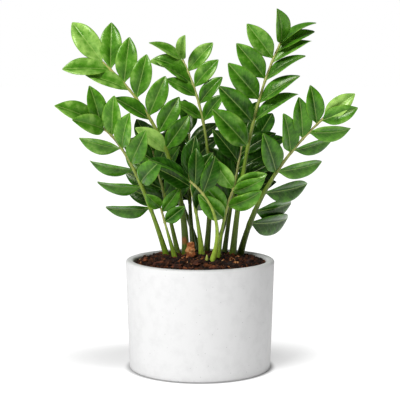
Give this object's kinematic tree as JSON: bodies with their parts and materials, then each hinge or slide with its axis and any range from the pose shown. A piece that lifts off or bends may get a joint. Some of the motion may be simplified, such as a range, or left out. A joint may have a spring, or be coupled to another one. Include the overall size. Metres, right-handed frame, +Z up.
{
  "type": "potted live plant",
  "caption": "ZZ plant in a round pale concrete-look pot: upright and arching fronds of glossy pointed leaflets, thick green stalks, heaped soil with bark chips.",
  "frame": {"origin": "centre of the pot's flat underside, on the surface that it stands on", "axes": "+Z up along the pot's axis, -Y towards the plant's front, +X to the right seen from the front"},
  "size_m": [0.4283, 0.3025, 0.5263],
  "materials": {
    "pot": "smooth cast concrete, matt",
    "soil": "loose dark potting soil, crumbly",
    "rhizome": "tan tuber skin, dull",
    "bark": "rough pine bark",
    "shoot": "pale fleshy shoot",
    "stalk": "smooth fleshy green stalk, satin",
    "young_stalk": "smooth bright green stalk, satin",
    "leaf": "waxy dark green leaf, glossy",
    "young_leaf": "waxy bright green young leaf, glossy"
  },
  "bodies": {
    "root": {"pot": "pot", "soil": "soil", "rhizome_left": "rhizome", "rhizome_front": "rhizome", "rhizome_back": "rhizome", "rhizome_right": "rhizome", "bark_chip_front_1": "bark", "bark_chip_front_2": "bark", "bark_chip_front_3": "bark", "bark_chip_front_4": "bark", "bark_chip_front_5": "bark", "bark_chip_front_6": "bark", "bark_chip_side_1": "bark", "bark_chip_side_2": "bark", "bark_chip_back_1": "bark", "bark_chip_back_2": "bark", "bark_chip_standing": "bark", "shoot_tip": "shoot", "stalk_upper_left": "stalk", "stalk_low_left": "stalk", "stalk_upper_right": "stalk", "stalk_centre": "stalk", "stalk_low_right": "stalk", "stalk_front_young": "young_stalk", "stalk_front_left": "young_stalk", "stalk_small_left": "young_stalk", "stalk_inner_left": "stalk", "stalk_outer_left": "stalk", "stalk_inner_right": "stalk", "stalk_back_centre": "stalk", "stalk_back_left": "stalk", "stalk_back_right": "stalk", "leaves_upper_left": "leaf", "leaves_low_left": "leaf", "leaves_upper_right": "leaf", "leaves_centre": "leaf", "leaves_low_right": "leaf", "leaves_front_young": "young_leaf", "leaves_front_left": "young_leaf", "leaves_small_left": "young_leaf", "leaves_inner_left": "leaf", "leaves_outer_left": "leaf", "leaves_inner_right": "leaf", "leaves_back_centre": "leaf", "leaves_back_left": "leaf", "leaves_back_right": "leaf"}
  },
  "joints": []
}
